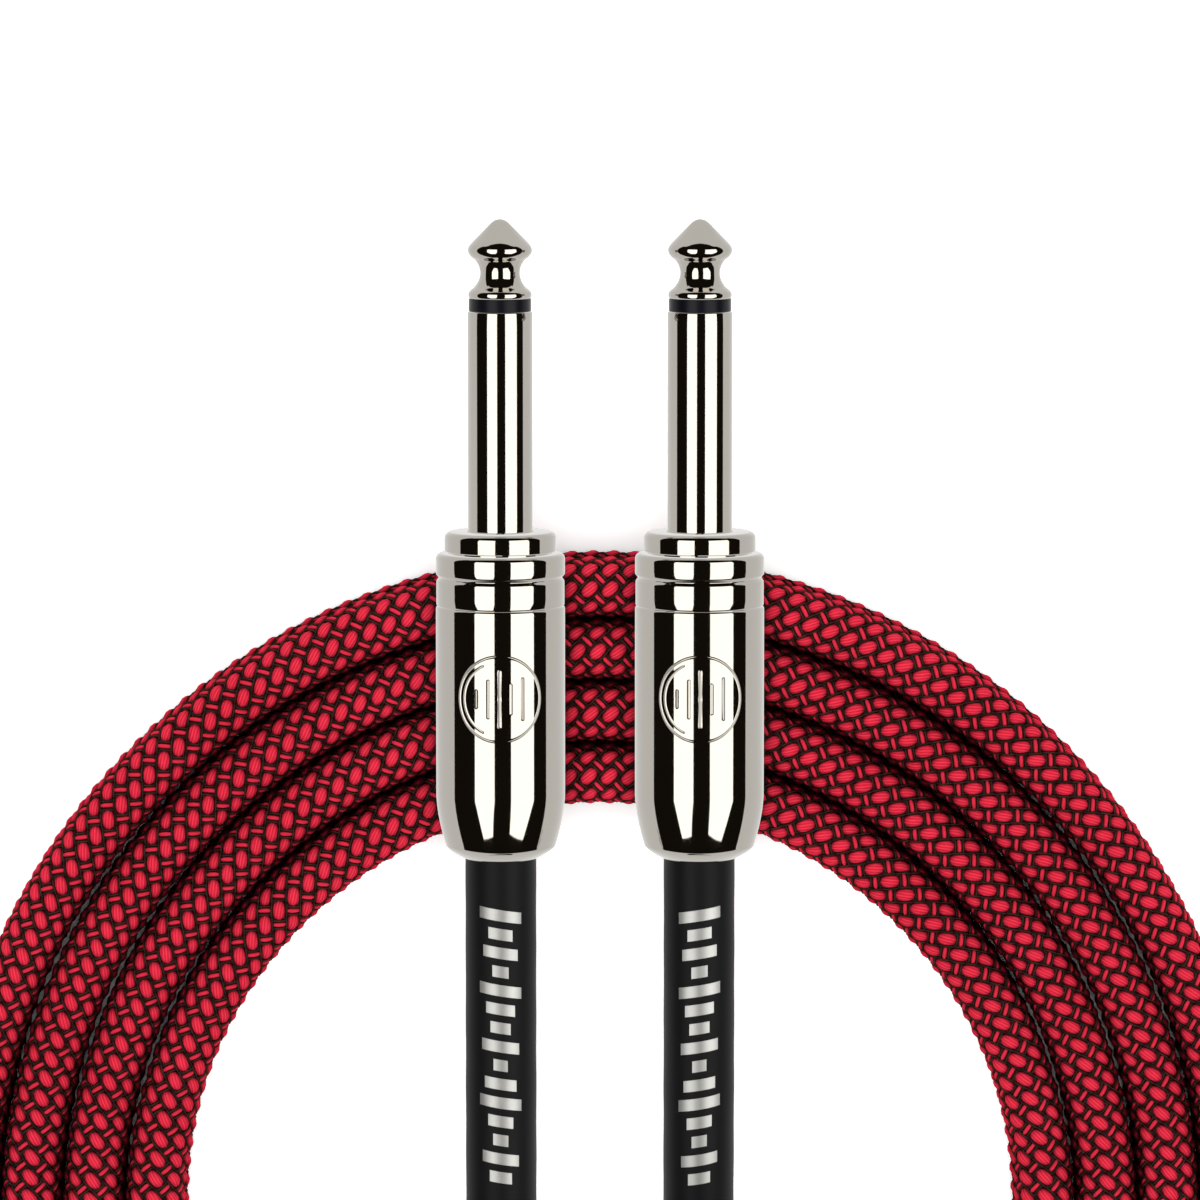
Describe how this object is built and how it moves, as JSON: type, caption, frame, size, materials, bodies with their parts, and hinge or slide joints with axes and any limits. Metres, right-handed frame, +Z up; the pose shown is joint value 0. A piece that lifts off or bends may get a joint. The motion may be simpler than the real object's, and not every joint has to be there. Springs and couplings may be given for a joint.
{
  "type": "instrument cable",
  "caption": "Braided audio instrument cable in a flat coil, with a straight mono phone plug in a screw-on metal shell at each end",
  "frame": {"origin": "on the underside of the coil, in the middle of its ring, straight below the middle between the two shells", "axes": "+Y along both plugs towards their tips, +Z up from the surface that the coil lies on, +X from the left plug to the right plug"},
  "size_m": [0.1334, 0.169, 0.0253],
  "materials": {
    "nickel_plate": "polished nickel plate on turned brass",
    "black_insulation": "moulded black insulation",
    "fibre_board": "punched vulcanised fibre",
    "tinned_metal": "tinned, dull",
    "lug_brass": "stamped strip",
    "clear_liner": "translucent extruded tube",
    "core_plastic": "extruded insulation",
    "copper_wire": "bare stranded copper",
    "heat_shrink": "satin black shrink tube with a silver printed pattern",
    "braid_red": "braided red yarn bundles with thin black yarns over a black core",
    "tie_strap": "black hook-and-loop strap"
  },
  "bodies": {
    "cable_and_plug_bodies": {"left_tip_contact": "nickel_plate", "left_sleeve_contact": "nickel_plate", "left_tip_insulator": "black_insulation", "left_rod_insulating_tube": "black_insulation", "left_noise_screen": "black_insulation", "left_rear_insulator": "fibre_board", "left_tip_lug": "tinned_metal", "left_ground_lug": "lug_brass", "left_tip_solder": "tinned_metal", "left_ground_solder": "tinned_metal", "left_core_insulation": "core_plastic", "left_centre_conductor": "copper_wire", "left_shield_pigtail": "copper_wire", "left_shrink_sleeve": "heat_shrink", "left_cable_tail": "braid_red", "right_tip_contact": "nickel_plate", "right_sleeve_contact": "nickel_plate", "right_tip_insulator": "black_insulation", "right_rod_insulating_tube": "black_insulation", "right_noise_screen": "black_insulation", "right_rear_insulator": "fibre_board", "right_tip_lug": "tinned_metal", "right_ground_lug": "lug_brass", "right_tip_solder": "tinned_metal", "right_ground_solder": "tinned_metal", "right_core_insulation": "core_plastic", "right_centre_conductor": "copper_wire", "right_shield_pigtail": "copper_wire", "right_shrink_sleeve": "heat_shrink", "right_cable_tail": "braid_red", "cable_coil": "braid_red", "cable_tie": "tie_strap"},
    "left_liner_carrier": {"left_insulating_liner": "clear_liner"},
    "left_turning_shell": {"left_shell": "nickel_plate"},
    "right_liner_carrier": {"right_insulating_liner": "clear_liner"},
    "right_turning_shell": {"right_shell": "nickel_plate"}
  },
  "joints": [
    {"name": "left_shell_travel", "type": "slide", "parent": "cable_and_plug_bodies", "child": "left_liner_carrier", "axis": [0, -1, 0], "range_m": [0, 0.004]},
    {"name": "left_shell_unscrew", "type": "hinge", "parent": "left_liner_carrier", "child": "left_turning_shell", "pos_m": [-0.0098, 0, 0.01895], "axis": [0, -1, 0], "range_deg": [0, 1800]},
    {"name": "right_shell_travel", "type": "slide", "parent": "cable_and_plug_bodies", "child": "right_liner_carrier", "axis": [0, -1, 0], "range_m": [0, 0.004]},
    {"name": "right_shell_unscrew", "type": "hinge", "parent": "right_liner_carrier", "child": "right_turning_shell", "pos_m": [0.0098, 0, 0.01895], "axis": [0, -1, 0], "range_deg": [0, 1800]}
  ],
  "couplings": [
    {"joint": "left_shell_unscrew", "follows": "left_shell_travel", "rad_per_m": 7854},
    {"joint": "right_shell_unscrew", "follows": "right_shell_travel", "rad_per_m": 7854}
  ]
}
